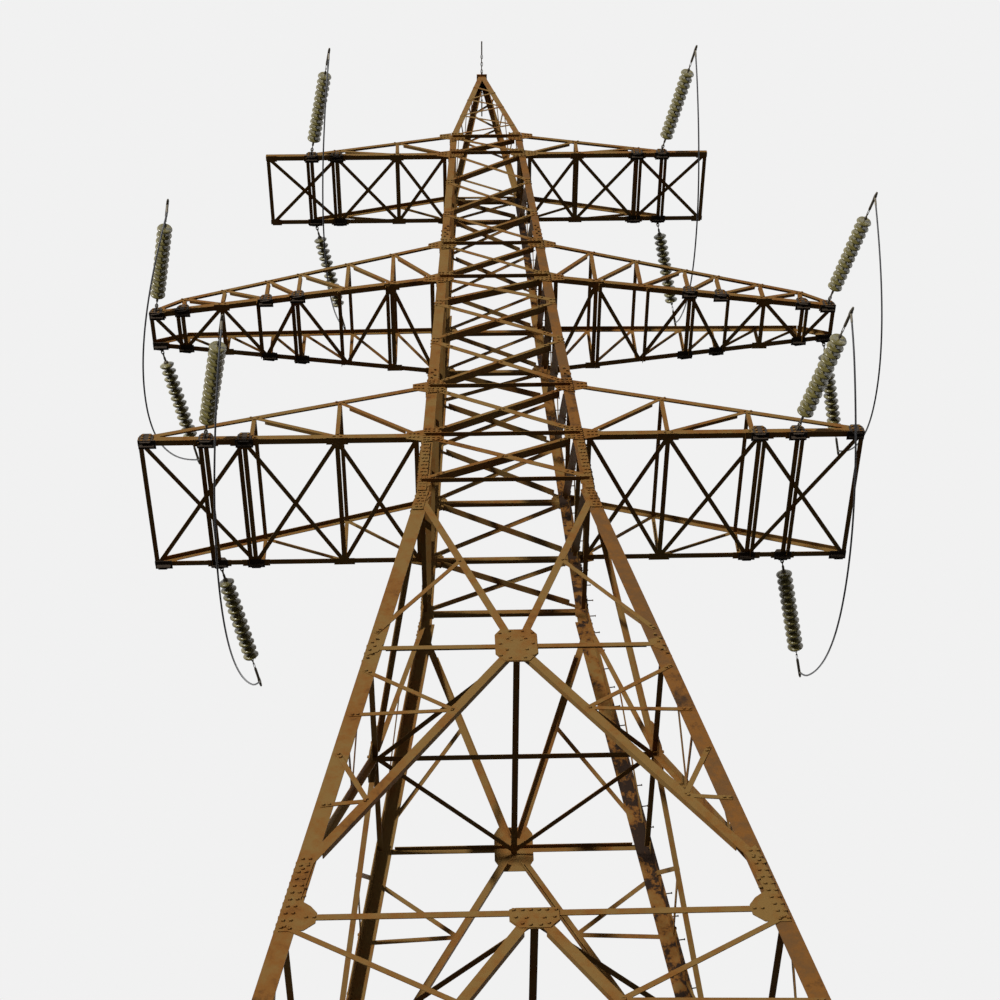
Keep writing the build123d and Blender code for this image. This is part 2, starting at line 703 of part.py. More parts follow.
# The origin is the middle of the bounding box at floor level. The strings all lean towards +X,
# so the tower's own axis lies a little to the -X side of it.
boxes = [s.bounding_box() for name, s in made.items() if not name.startswith("jumper")]
axis_x = -(min(b.min.X for b in boxes) + max(b.max.X for b in boxes)) / 2
for name, shape in made.items():
    shape = Pos(axis_x, 0, 0) * shape
    shape.label = name
    export_step(shape, "parts/" + name + ".step")
    print(name, len(shape.solids()), round(shape.volume / 1e6, 2), shape.is_valid)
print("tower axis at x =", round(axis_x, 3))
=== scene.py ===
import bmesh
import bpy
import math
from mathutils import Matrix, Vector


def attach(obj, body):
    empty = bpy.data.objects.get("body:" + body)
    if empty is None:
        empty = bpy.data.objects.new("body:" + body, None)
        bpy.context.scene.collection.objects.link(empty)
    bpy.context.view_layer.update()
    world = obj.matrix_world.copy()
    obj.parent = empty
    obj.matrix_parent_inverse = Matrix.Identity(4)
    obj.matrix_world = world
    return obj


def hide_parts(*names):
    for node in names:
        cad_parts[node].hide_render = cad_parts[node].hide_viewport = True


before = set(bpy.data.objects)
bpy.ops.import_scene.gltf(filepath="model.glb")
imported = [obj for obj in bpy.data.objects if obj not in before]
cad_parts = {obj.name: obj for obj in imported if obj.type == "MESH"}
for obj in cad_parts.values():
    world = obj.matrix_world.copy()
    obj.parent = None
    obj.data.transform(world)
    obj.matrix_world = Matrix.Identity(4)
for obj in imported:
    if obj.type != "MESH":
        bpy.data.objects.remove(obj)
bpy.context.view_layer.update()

bl_info = {
    "name": "Lattice transmission pylon",
    "version": (1, 0, 0),
    "blender": (4, 5, 0),
    "location": "View3D > Sidebar > Pylon",
    "description": "Dresses the packed pylon: steel, bolts, glass strings, jumper loops and studio",
    "category": "Object",
}

# The tower's axis lies a little to one side of the bounding box, because the strings lean to +X
AXIS_X = -0.187723

# Heights above the floor, in metres
WAIST = 21.750
LEVEL = {
    "strut": WAIST + 0.265, "arm_b": WAIST + 1.460, "arm_b_up": WAIST + 2.830,
    "arm_m": WAIST + 6.400, "arm_m_up": WAIST + 7.630, "arm_t": WAIST + 11.465,
    "arm_t_up": WAIST + 12.300, "apex": WAIST + 16.500,
    "gusset_1": WAIST - 3.905, "gusset_2": WAIST - 8.585, "gusset_3": WAIST - 14.400,
}
HALF_WAIST = 1.250
HALF_TOP = 0.732
LEG_LEAN = 0.148
BODY_LEVELS = [LEVEL["strut"], LEVEL["arm_b"], LEVEL["arm_b_up"], WAIST + 4.25, WAIST + 5.5,
               LEVEL["arm_m"], LEVEL["arm_m_up"], WAIST + 8.84, WAIST + 10.19, LEVEL["arm_t"],
               LEVEL["arm_t_up"] - 0.06]

# Arms, in metres from the tower's axis: level, upper root level, tip, where the strings hang, where the
# chords meet, posts of the side trusses, node plates under the chord, paired cross bars
ARMS = {
    "bottom": dict(z=LEVEL["arm_b"], up=LEVEL["arm_b_up"], tip=5.360, hang=4.366, meet=5.240,
                   posts=(2.440, 3.700), lumps=(3.800, 4.366, 5.315), pairs=(3.800, 4.366)),
    "middle": dict(z=LEVEL["arm_m"], up=LEVEL["arm_m_up"], tip=5.910, hang=5.780, meet=5.850,
                   posts=(1.740, 2.520, 3.350, 3.900, 4.650, 5.330), lumps=(3.350, 3.900, 5.330, 5.840),
                   pairs=(1.740, 2.560, 3.360, 3.950, 5.330)),
    "top": dict(z=LEVEL["arm_t"], up=LEVEL["arm_t_up"], tip=4.260, hang=3.381, meet=3.381,
                posts=(1.740, 2.900), lumps=(2.900, 3.381), pairs=(2.900, 3.381)),
}
MIDDLE_TIP_HALF = 0.329


def half(z):
    """Half width of the square plan at height z."""
    if z >= WAIST:
        return HALF_WAIST - (HALF_WAIST - HALF_TOP) * (z - WAIST) / (LEVEL["arm_t"] - WAIST)
    return HALF_WAIST + LEG_LEAN * (WAIST - z)


def chord_half(name, x):
    """Half the distance between the lower chords of an arm at tower x."""
    arm = ARMS[name]
    root = half(arm["z"])
    if name != "middle":
        return root
    return root + (MIDDLE_TIP_HALF - root) * (x - root) / (arm["tip"] - root)


# Sizes and colours that a user would change

class SteelSettings(bpy.types.PropertyGroup):
    paint: bpy.props.StringProperty(name="Paint", description="Weathered ochre paint", default="#7F6133")
    stain: bpy.props.StringProperty(name="Stain", description="Darkest runs and pits", default="#3E2A18")
    rust: bpy.props.StringProperty(name="Rust", description="Darker rust in patches", default="#7E5222")
    right_leg: bpy.props.StringProperty(name="Near right leg", description="Redder, more rusted paint",
                                        default="#6A4A28")
    far_leg: bpy.props.StringProperty(name="Far right leg", description="Bare dark steel under the rust",
                                      default="#2C1E14")
    bolt_radius: bpy.props.FloatProperty(name="Bolt head", description="Half the width across a head",
                                         default=0.019, unit="LENGTH")
    bolt_height: bpy.props.FloatProperty(name="Bolt height", description="Height of a head",
                                         default=0.016, unit="LENGTH")


class StringSettings(bpy.types.PropertyGroup):
    glass: bpy.props.StringProperty(name="Glass", description="Toughened glass discs", default="#7E7442")
    disc_radius: bpy.props.FloatProperty(name="Disc radius", description="Radius of one disc",
                                         default=0.1265, unit="LENGTH")
    disc_pitch: bpy.props.FloatProperty(name="Disc pitch", description="Spacing of the discs along a string",
                                        default=0.127, unit="LENGTH")
    discs: bpy.props.IntProperty(name="Discs", description="Discs in one string", default=12, min=2)


class StageSettings(bpy.types.PropertyGroup):
    floor: bpy.props.StringProperty(name="Floor", description="Plain floor and backdrop", default="#E6E6E4")


# Small tools

def linear(hex_colour):
    """sRGB hex to linear RGBA."""
    text = hex_colour.lstrip("#")
    out = []
    for i in (0, 2, 4):
        c = int(text[i:i + 2], 16) / 255
        out.append(c / 12.92 if c <= 0.04045 else ((c + 0.055) / 1.055) ** 2.4)
    return (*out, 1.0)


def add_node(tree, kind, settings=None, links=None):
    """A node with its settings and its incoming links."""
    node = tree.nodes.new(kind)
    for key, value in (settings or {}).items():
        if isinstance(key, str) and hasattr(node, key):
            setattr(node, key, value)
        else:
            node.inputs[key].default_value = value
    for key, source in (links or {}).items():
        tree.links.new(source, node.inputs[key])
    return node


def mesh_object(name, verts, faces, material=None, smooth=False):
    mesh = bpy.data.meshes.new(name)
    mesh.from_pydata([tuple(v) for v in verts], [], faces)
    mesh.update()
    if smooth:
        for polygon in mesh.polygons:
            polygon.use_smooth = True
    obj = bpy.data.objects.new(name, mesh)
    bpy.context.scene.collection.objects.link(obj)
    if material:
        mesh.materials.append(material)
    return obj


def circle(count):
    """Cosine and sine of even steps round a circle."""
    return [(math.cos(2 * math.pi * k / count), math.sin(2 * math.pi * k / count)) for k in range(count)]


class Builder:
    """Collects boxes, plates, tubes and turned forms into one mesh."""

    def __init__(self):
        self.verts = []
        self.faces = []

    def add(self, verts, faces):
        base = len(self.verts)
        self.verts += [Vector(v) for v in verts]
        self.faces += [tuple(base + i for i in face) for face in faces]

    def box(self, frame_matrix, lo, hi):
        xs, ys, zs = zip(lo, hi)
        self.add([frame_matrix @ Vector((x, y, z)) for x in xs for y in ys for z in zs],
                 [(0, 1, 3, 2), (4, 6, 7, 5), (0, 4, 5, 1), (2, 3, 7, 6), (0, 2, 6, 4), (1, 5, 7, 3)])

    def plate(self, frame_matrix, outline, n0, n1):
        count = len(outline)
        verts = [frame_matrix @ Vector((x, y, n0)) for x, y in outline]
        verts += [frame_matrix @ Vector((x, y, n1)) for x, y in outline]
        faces = [tuple(reversed(range(count))), tuple(range(count, 2 * count))]
        faces += [(i, (i + 1) % count, count + (i + 1) % count, count + i) for i in range(count)]
        self.add(verts, faces)

    def turned(self, frame_matrix, profile, sides):
        """Profile of (along, radius) turned about the local x axis."""
        verts = [frame_matrix @ Vector((x, r * co, r * si)) for x, r in profile for co, si in circle(sides)]
        faces = []
        for i in range(len(profile) - 1):
            for k in range(sides):
                m = (k + 1) % sides
                faces.append((i * sides + k, (i + 1) * sides + k, (i + 1) * sides + m, i * sides + m))
        faces.append(tuple(range(sides)))
        last = (len(profile) - 1) * sides
        faces.append(tuple(last + k for k in reversed(range(sides))))
        self.add(verts, faces)

    def tube(self, points, radius, sides, closed=False):
        points = [Vector(p) for p in points]
        count = len(points)
        verts = []
        up = Vector((0.3, 0.2, 1)).normalized()
        for i, p in enumerate(points):
            if closed:
                along = points[(i + 1) % count] - points[i - 1]
            else:
                along = points[min(i + 1, count - 1)] - points[max(i - 1, 0)]
            along.normalize()
            side = along.cross(up).normalized()
            other = side.cross(along).normalized()
            verts += [p + side * (radius * co) + other * (radius * si) for co, si in circle(sides)]
        faces = []
        for i in range(count if closed else count - 1):
            j = (i + 1) % count
            for k in range(sides):
                m = (k + 1) % sides
                faces.append((i * sides + k, i * sides + m, j * sides + m, j * sides + k))
        if not closed:
            faces.append(tuple(reversed(range(sides))))
            faces.append(tuple((count - 1) * sides + k for k in range(sides)))
        self.add(verts, faces)

    def make(self, name, material):
        """One mesh with its faces turned outward, riding the tower."""
        obj = mesh_object(name, self.verts, self.faces, material)
        work = bmesh.new()
        work.from_mesh(obj.data)
        bmesh.ops.recalc_face_normals(work, faces=work.faces)
        work.to_mesh(obj.data)
        work.free()
        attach(obj, "root")
        return obj


TOWER = Matrix.Translation((AXIS_X, 0, 0))
STRUTS = [LEVEL[k] for k in ("strut", "arm_b", "arm_b_up", "arm_m", "arm_m_up", "arm_t")]
STRUTS.append(BODY_LEVELS[-1])

# Dressing, in metres: seats and thicknesses, how far it stops short of a tip; widths of the legs under it
BOLT_SEAT = 0.0004
COVER_THICK = 0.008
GUSSET_THICK = 0.010
GUSSET_TOP = 0.0102
ARM_PLATE = (0.0004, 0.0124)
ARM_PLATE_HALF = (0.105, 0.125)
PLATE_SHORT = 0.12
CLEAT_SHORT = 0.14
LEG_WIDTH_LOW = 0.19
LEG_WIDTH_UP = 0.12


class Side:
    """One slanting face of the tower: x across, z up. Turn 0 near, 1 right, 2 far, 3 left."""

    def __init__(self, turn, lower):
        self.z0, z1 = (0.0, WAIST) if lower else (WAIST, LEVEL["arm_t_up"])
        h0, h1 = half(self.z0), half(z1)
        run = math.hypot(h0 - h1, z1 - self.z0)
        self.k = run / (z1 - self.z0)
        up = Vector((0, (h0 - h1) / run, (z1 - self.z0) / run))
        out = Vector((1, 0, 0)).cross(up)
        m = Matrix((Vector((1, 0, 0)), up, out)).transposed().to_4x4()
        m.translation = Vector((0, -h0, self.z0))
        self.matrix = TOWER @ Matrix.Rotation(turn * math.pi / 2, 4, "Z") @ m
        # Bars of the near and far sides lie on the legs, those of the other two inside them
        self.inside = turn % 2 == 1
        self.inset = (0.075 if lower else 0.062) if self.inside else (0.060 if lower else 0.045)
        self.skin = -0.0160 if self.inside else 0.0101
        self.cover_seat = 0.0003 if self.inside else 0.0102
        self.cover_top = 0.0085 if self.inside else 0.0183

    def at(self, p):
        return Vector((p[0], (p[1] - self.z0) * self.k, 0))

    def edge(self, s, z):
        return (s * (half(z) - self.inset), z)

    def plate(self, b, pts, n0, n1):
        b.plate(self.matrix, [tuple(self.at(p))[:2] for p in pts], n0, n1)

    def bolt(self, spots, x, z, n=None):
        """One head on the face, or n out of it where a plate lies between."""
        on_leg = abs(x) > half(z) - (LEG_WIDTH_LOW if z < WAIST else LEG_WIDTH_UP)
        lift = (BOLT_SEAT if self.inside and on_leg else self.skin) if n is None else n
        spots.append(self.matrix @ Matrix.Translation(self.at((x, z)) + Vector((0, 0, lift))))


def mix(p, q, f):
    """Point at fraction f of the way from p to q."""
    return tuple(a + (b - a) * f for a, b in zip(p, q))


def mirrored(right):
    """Whole outline of a plate from its right half, counter-clockwise."""
    return right + [(-x, y) for x, y in reversed(right)]


class Arm:
    """Side truss of one arm: x along the lower chord, y up the truss, z out of it."""
    UPPER_START = (0.022, -0.004)
    FOOT = (0.070, 0.020)
    CHORD_SWING = 0.090
    MIDDLE_KNEE = (4.440, 0.330)
    MEET_RISE = 0.045
    RIB_FROM, RIB_TO = 0.14, 0.86
    SHORTEST_RIB = 0.22
    RIB_EDGE = 0.026
    RIB_HALF_THICK = 0.004
    RIB_DEEP = (-0.055, -0.0102)

    def __init__(self, name, side, far):
        spec = ARMS[name]
        h0, h1 = half(spec["z"]), half(spec["up"])
        o = Vector((h0, -h0, spec["z"]))
        tip = Vector((spec["tip"], -chord_half(name, spec["tip"]), spec["z"]))
        root = Vector((h1, -h1, spec["up"]))
        ex = (tip - o).normalized()
        out = ex.cross(root - o).normalized()
        ey = out.cross(ex)
        m = Matrix((ex, ey, out)).transposed().to_4x4()
        m.translation = o
        flip = Matrix.Diagonal((side, -1 if far else 1, 1, 1))
        self.matrix = TOWER @ flip @ m
        self.o, self.ex = o, ex
        d = root - o
        swing = self.CHORD_SWING * ex.y
        self.root = (d.dot(ex), d.dot(ey))
        self.upper_line = [(self.root[0] + self.UPPER_START[0] + swing, self.root[1] + self.UPPER_START[1])]
        if name == "middle":
            self.upper_line.append(self.MIDDLE_KNEE)
        self.upper_line.append((self.low(spec["meet"])[0], self.MEET_RISE))
        self.posts = spec["posts"]
        self.foot = (self.FOOT[0] + swing, self.FOOT[1])

    def low(self, x):
        """Place on the lower chord at tower x."""
        return ((x - self.o.x) / self.ex.x, 0.0)

    def upper(self, s):
        """Place on the upper chord, s along the lower one."""
        for a, b in zip(self.upper_line[:-1], self.upper_line[1:]):
            if s <= b[0]:
                return mix(a, b, (s - a[0]) / (b[0] - a[0]))
        return self.upper_line[-1]

    def plate(self, b, c):
        """Eight-sided node plate about c, its corners cut off."""
        w, h = ARM_PLATE_HALF
        outline = mirrored([(w * 0.6, -h), (w, -h * 0.5), (w, h * 0.5), (w * 0.6, h)])
        b.plate(self.matrix, [(c[0] + x, c[1] + y) for x, y in outline], *ARM_PLATE)

    def bolt(self, spots, x, y, n=BOLT_SEAT):
        spots.append(self.matrix @ Matrix.Translation((x, y, n)))

    def rib(self, b, p, q, edge):
        """Second flange of a web bar from p to q, on its left (1) or right (-1) edge."""
        p, q = mix(p, q, self.RIB_FROM), mix(p, q, self.RIB_TO)
        d = Vector((q[0] - p[0], q[1] - p[1], 0))
        length = d.length
        if length < self.SHORTEST_RIB:
            return
        d.normalize()
        m = Matrix((d, Vector((-d.y, d.x, 0)), Vector((0, 0, 1)))).transposed().to_4x4()
        m.translation = Vector((p[0], p[1], 0))
        y = edge * self.RIB_EDGE
        b.box(self.matrix @ m, (0, y - self.RIB_HALF_THICK, self.RIB_DEEP[0]),
              (length, y + self.RIB_HALF_THICK, self.RIB_DEEP[1]))


def every_arm():
    """The twelve side trusses of the arms."""
    for name in ARMS:
        for side in (1, -1):
            for far in (False, True):
                yield name, side, far, Arm(name, side, far)


def every_end():
    """The six arms by name and side, with the ending that their pieces' names share."""
    for name in ARMS:
        for side, word in ((1, "right"), (-1, "left")):
            yield name, side, name + "_" + word


# Materials

def start_material(name):
    """A new finish: its nodes, its shader and a link from the object's own coordinates."""
    mat = bpy.data.materials.new(name)
    mat.use_nodes = True
    tree = mat.node_tree
    coords = add_node(tree, "ShaderNodeTexCoord")
    return mat, tree, tree.nodes["Principled BSDF"], {"Vector": coords.outputs["Object"]}


def steel_material(name, stops):
    """Rolled steel angles, brushed by hand with ochre paint that has gone to rust: dull, with dark runs."""
    mat, tree, shader, own = start_material(name)
    # Weather changes the paint over about 1.5 m; rust comes in ragged patches about 200 mm across
    weather = add_node(tree, "ShaderNodeTexNoise", {"Scale": 0.7, "Detail": 3.0}, own)
    patches = add_node(tree, "ShaderNodeTexNoise", {"Scale": 5.0, "Detail": 7.0, "Roughness": 0.7}, own)
    grain = add_node(tree, "ShaderNodeTexNoise", {"Scale": 80.0, "Detail": 3.0}, own)
    mask = add_node(tree, "ShaderNodeMix", {"Factor": 0.55},
                    {"A": weather.outputs["Fac"], "B": patches.outputs["Fac"]})
    ramp = add_node(tree, "ShaderNodeValToRGB", {}, {"Fac": mask.outputs["Result"]})
    for i, (place, colour) in enumerate(stops):
        stop = ramp.color_ramp.elements[i] if i < 2 else ramp.color_ramp.elements.new(place)
        stop.position = place
        stop.color = linear(colour)
    rough = add_node(tree, "ShaderNodeMapRange", {"To Min": 0.62, "To Max": 0.85},
                     {"Value": grain.outputs["Fac"]})
    bump = add_node(tree, "ShaderNodeBump", {"Strength": 0.15, "Distance": 0.004},
                    {"Height": grain.outputs["Fac"]})
    tree.links.new(ramp.outputs["Color"], shader.inputs["Base Color"])
    tree.links.new(rough.outputs[0], shader.inputs["Roughness"])
    tree.links.new(bump.outputs[0], shader.inputs["Normal"])
    shader.inputs["Metallic"].default_value = 0.0
    shader.inputs["Specular IOR Level"].default_value = 0.15
    return mat


def plain_material(name, colour, metallic, roughness, specular=0.5, transmission=0.0):
    """One finish, a little darker where it is handled."""
    mat, tree, shader, own = start_material(name)
    # Handling dirt in spots about 60 mm across
    spots = add_node(tree, "ShaderNodeTexNoise", {"Scale": 16.0, "Detail": 4.0}, own)
    ramp = add_node(tree, "ShaderNodeValToRGB", {}, {"Fac": spots.outputs["Fac"]})
    base = linear(colour)
    ramp.color_ramp.elements[0].position = 0.35
    ramp.color_ramp.elements[0].color = (base[0] * 0.72, base[1] * 0.72, base[2] * 0.70, 1)
    ramp.color_ramp.elements[1].position = 0.62
    ramp.color_ramp.elements[1].color = base
    tree.links.new(ramp.outputs["Color"], shader.inputs["Base Color"])
    shader.inputs["Metallic"].default_value = metallic
    shader.inputs["Roughness"].default_value = roughness
    shader.inputs["Specular IOR Level"].default_value = specular
    shader.inputs["Transmission Weight"].default_value = transmission
    return mat


MATERIALS = {}


def material(key):
    """The finish by its short name, made once."""
    if key not in MATERIALS:
        glass = bpy.context.scene.pylon_strings.glass
        cfg = bpy.context.scene.pylon_steel
        makers = {
            "steel": lambda: steel_material("weathered painted rolled steel", (
                (0.46, cfg.paint), (0.58, cfg.rust), (0.70, cfg.stain))),
            # Near right leg: the same paint, redder with rust
            "right leg": lambda: steel_material("rusted painted rolled steel", (
                (0.46, cfg.right_leg), (0.56, cfg.rust), (0.66, cfg.stain))),
            # Far right leg: dark where the paint is gone, with patches of rust and paint
            "far leg": lambda: steel_material("bare rusty rolled steel", (
                (0.49, cfg.far_leg), (0.53, cfg.rust), (0.60, cfg.paint))),
            # Pressed toughened glass, olive green, dulled by a film of dust
            "glass": lambda: plain_material("toughened glass", glass, 0.0, 0.30, 0.35, 0.10),
            # Malleable iron caps and forged links, galvanised and gone dull
            "iron": lambda: plain_material("galvanised iron", "#6E6657", 0.55, 0.55),
            # Gussets and cleats under the arms, iron painted brown black: partly dirt on the iron, partly
            # painted shade for the shade under the arms
            "shade painted iron": lambda: plain_material("iron painted with shade", "#40352A", 0.2, 0.7, 0.3),
            # Stranded aluminium conductor, dulled by years outside
            "cable": lambda: plain_material("stranded aluminium", "#4A4A4C", 0.6, 0.5),
        }
        MATERIALS[key] = makers[key]()
    return MATERIALS[key]


# Geometry Nodes: one form set on many points

def scatter(name, places, form, mat):
    """Copies of form at the given frames, realized into one plain mesh that rides the tower."""
    mesh = bpy.data.meshes.new(name + " points")
    mesh.from_pydata([tuple(m.translation) for m in places], [], [])
    layer = mesh.attributes.new("turn", "FLOAT_VECTOR", "POINT")
    for i, m in enumerate(places):
        layer.data[i].vector = turn_of(m)
    carrier = bpy.data.objects.new(name + " carrier", mesh)
    bpy.context.scene.collection.objects.link(carrier)
    tree = bpy.data.node_groups.new(name + " tree", "GeometryNodeTree")
    tree.interface.new_socket("Geometry", in_out="INPUT", socket_type="NodeSocketGeometry")
    size_socket = tree.interface.new_socket("Size", in_out="INPUT", socket_type="NodeSocketFloat")
    form_socket = tree.interface.new_socket("Form", in_out="INPUT", socket_type="NodeSocketObject")
    tree.interface.new_socket("Geometry", in_out="OUTPUT", socket_type="NodeSocketGeometry")
    start = tree.nodes.new("NodeGroupInput")
    info = add_node(tree, "GeometryNodeObjectInfo", {}, {"Object": start.outputs["Form"]})
    named = add_node(tree, "GeometryNodeInputNamedAttribute", {"data_type": "FLOAT_VECTOR"})
    named.inputs["Name"].default_value = "turn"
    put = add_node(tree, "GeometryNodeInstanceOnPoints", {},
                   {"Points": start.outputs["Geometry"], "Instance": info.outputs["Geometry"],
                    "Rotation": named.outputs[0], "Scale": start.outputs["Size"]})
    real = add_node(tree, "GeometryNodeRealizeInstances", {}, {"Geometry": put.outputs[0]})
    paint = add_node(tree, "GeometryNodeSetMaterial", {"Material": mat}, {"Geometry": real.outputs[0]})
    end = tree.nodes.new("NodeGroupOutput")
    tree.links.new(paint.outputs[0], end.inputs[0])
    modifier = carrier.modifiers.new("scatter", "NODES")
    modifier.node_group = tree
    modifier[size_socket.identifier] = 1.0
    modifier[form_socket.identifier] = form
    graph = bpy.context.evaluated_depsgraph_get()
    result = bpy.data.meshes.new_from_object(carrier.evaluated_get(graph))
    result.name = name
    carrier.modifiers.clear()
    obj = bpy.data.objects.new(name, result)
    bpy.context.scene.collection.objects.link(obj)
    bpy.data.objects.remove(carrier)
    bpy.data.objects.remove(form)
    if not len(result.vertices):
        raise RuntimeError(name + " came out empty")
    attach(obj, "root")
    return obj


def bolt_form(radius, height):
    """Six-sided bolt head."""
    b = Builder()
    b.plate(Matrix.Identity(4), [(radius * co, radius * si) for co, si in circle(6)], 0.0, height)
    return mesh_object("bolt form", b.verts, b.faces)


def turn_of(m):
    """Euler angles of a frame by its x and z directions, right-handed even where the frame is mirrored."""
    x = (m.to_3x3() @ Vector((1, 0, 0))).normalized()
    z = (m.to_3x3() @ Vector((0, 0, 1))).normalized()
    return tuple(Matrix((x, z.cross(x), z)).transposed().to_euler())


# Frames where bolt heads go, z out of the steel

def lower_members(side):
    """Ends of the braces and short bars of one lower face, left half, as the solids have them."""
    g1, g2, g3 = (LEVEL["gusset_%d" % i] for i in (1, 2, 3))
    head, foot = side.edge(-1, WAIST - 0.150), (-0.040, g1 + 0.060)
    p = mix(head, foot, 0.47)
    yield head, foot, [(p, side.edge(-1, g1 + 0.330))]
    # Each panel: gusset level, foot of the brace on the leg, parts of the brace, lag of the level bars
    panels = ((g1, g2 + 0.650, 2, 0.22), (g2, g3 + 0.650, 3, 0.22), (g3, 0.460, 4, 0.17))
    for top, low, parts, f_lag in panels:
        head, foot = (-0.060, top - 0.080), side.edge(-1, low)
        shorts = []
        for i in range(parts):
            f = (i + 0.7) / 4.6 if parts == 4 else (i + 0.75) / (parts + 0.45)
            p = mix(head, foot, f)
            shorts.append((p, side.edge(-1, top - 0.120 + (foot[1] - top + 0.120) * (f - f_lag))))
            shorts.append((p, side.edge(-1, p[1] - 0.060)))
        yield head, foot, shorts


# Bolts of the gussets: across from the middle of the face, up from the level
GUSSET_1 = ((0.20, 0.26), (0.20, 0.03), (0.20, -0.22), (0.08, 0.30), (0.09, -0.27), (0.11, 0.14),
            (0.12, -0.10))
GUSSET_2 = ((0.21, 0.03), (0.12, 0.03), (0.04, 0.03), (0.19, -0.07), (0.09, -0.08), (0.13, -0.16),
            (0.05, -0.18))

# Bolts of the legs: in from the edge, and up from a level
NODE_COLUMNS = (0.030, 0.085)
NODE_PLATE_COLUMNS = (0.160, 0.230)
NODE_ROWS = (-0.15, -0.09, 0.02, 0.08, 0.14)
JOINT_ROWS = (-0.05, 0.05)
LEG_PLATE_BOLTS = ((0.27, 0.0), (0.35, 0.0), (0.24, 0.30), (0.24, 0.42))
LAP_LEVELS = (LEVEL["gusset_1"], LEVEL["arm_b_up"] + 0.30, LEVEL["arm_m_up"] + 0.50)


def bolt_rows(spots, face, s, start, pitch, count, columns, stagger=0.0, lift=None):
    """Rows of bolts up or down one leg, every other row a little further in."""
    for k in range(count):
        z = start + k * pitch
        for dx in columns:
            face.bolt(spots, s * (half(z) - dx - stagger * (k % 2)), z, lift)


def leg_bolts(spots, body, low, s):
    """Bolts of one leg on one side: at the levels, the splices, the laps and the plates of the splay."""
    for z in BODY_LEVELS:
        big = z in STRUTS
        wide = big and z != LEVEL["strut"] and not body.inside
        for dx in NODE_COLUMNS + (NODE_PLATE_COLUMNS if wide else ()):
            for dz in NODE_ROWS if big else JOINT_ROWS:
                body.bolt(spots, s * (half(z + dz) - dx), z + dz, body.cover_top if wide else None)
    # Splice of the legs where the shaft begins to splay
    bolt_rows(spots, body, s, WAIST + 0.30, 0.088, 11, (0.032, 0.082), 0.02, body.cover_top)
    bolt_rows(spots, low, s, WAIST - 0.06, -0.080, 6, (0.040, 0.100), 0.02, body.cover_top)
    for z in LAP_LEVELS:
        bolt_rows(spots, low if z < WAIST else body, s, z - 0.20, 0.08, 6, (0.050,), 0.045)
    for z in (LEVEL["gusset_2"], LEVEL["gusset_3"]):
        bolt_rows(spots, low, s, z - 0.14, 0.10, 11, (0.055, 0.130))
        for dx, dz in LEG_PLATE_BOLTS:
            low.bolt(spots, s * (half(z) - dx), z + dz)


def bracing_bolts(spots, body, low, s):
    """Bolts at the ends of one half's bars, on its gussets and along the shaft's diagonals."""
    for head, foot, shorts in lower_members(low):
        ends = [mix(head, foot, f) for f in (0.965, 0.985)]
        for p, q in shorts:
            d = math.dist(p, q)
            ends += [mix(p, q, 0.03 / d), mix(q, p, 0.03 / d), mix(q, p, 0.09 / d)]
        for x, z in ends:
            low.bolt(spots, -s * x, z)
    for name, rows in (("gusset_1", GUSSET_1), ("gusset_2", GUSSET_2), ("gusset_3", GUSSET_2)):
        for x, z in rows:
            low.bolt(spots, s * x, LEVEL[name] + z, low.skin + GUSSET_TOP)
    for z0, z1 in zip(BODY_LEVELS[:-1], BODY_LEVELS[1:]):
        a, b = body.edge(-s, z0 + 0.045), body.edge(s, z1 - 0.045)
        for f in (0.10, 0.13, 0.5, 0.87, 0.90):
            body.bolt(spots, *mix(a, b, f))


def arm_bolts(spots, name, arm):
    """Three bolts at each end of a post, six on a node plate, six at each root."""
    for x in arm.posts:
        q = arm.low(x)
        for c, rise in ((q, 0.05), (arm.upper(q[0]), -0.05)):
            for dx, dy in ((-0.05, 0.0), (0.05, 0.0), (0.0, rise)):
                arm.bolt(spots, c[0] + dx, c[1] + dy)
    for x in ARMS[name]["lumps"]:
        q = arm.low(min(x, ARMS[name]["tip"] - PLATE_SHORT))
        for dx in (-0.055, 0.055):
            for dy in (-0.07, 0.0, 0.07):
                arm.bolt(spots, q[0] + dx, dy, ARM_PLATE[1] + BOLT_SEAT)
    for x, y in ((0.0, 0.0), arm.root):
        for dx in (0.07, 0.13, 0.19):
            for dy in (-0.045, 0.045):
                arm.bolt(spots, x + dx, y + dy)


def bolt_places():
    """Every bolt head: four sides of the tower, then the arms."""
    spots = []
    for turn in range(4):
        body, low = Side(turn, False), Side(turn, True)
        for s in (-1, 1):
            leg_bolts(spots, body, low, s)
        for s in (-1, 1):
            bracing_bolts(spots, body, low, s)
    for name, side, far, arm in every_arm():
        arm_bolts(spots, name, arm)
    return spots


def step_bolt_places():
    """Climbing bolts up the far right leg, on one face and the other by turns."""
    spots = []
    joints = STRUTS + [WAIST] + [LEVEL["gusset_%d" % i] for i in (1, 2, 3)]
    for turn, s in ((1, 1), (2, -1)):
        for k in range(92):
            z = 3.0 + 0.34 * k + (0.17 if turn % 2 else 0.0)
            if z > LEVEL["arm_t_up"] - 0.3:
                break
            if min(abs(z - v) for v in joints) < 0.10:
                continue
            face = Side(turn, z < WAIST)
            face.bolt(spots, s * (half(z) - 0.018), z, 0.0006 if z < WAIST or face.inside else 0.0110)
    return spots


def step_form():
    """Climbing bolt: nut, shank and button head, standing out along z."""
    b = Builder()
    profile = [(0, 0.016), (0.012, 0.016), (0.013, 0.008), (0.110, 0.008), (0.111, 0.014), (0.120, 0.014)]
    b.turned(Matrix.Rotation(-math.pi / 2, 4, "Y"), profile, 8)
    return mesh_object("step form", b.verts, b.faces)


# Insulator strings

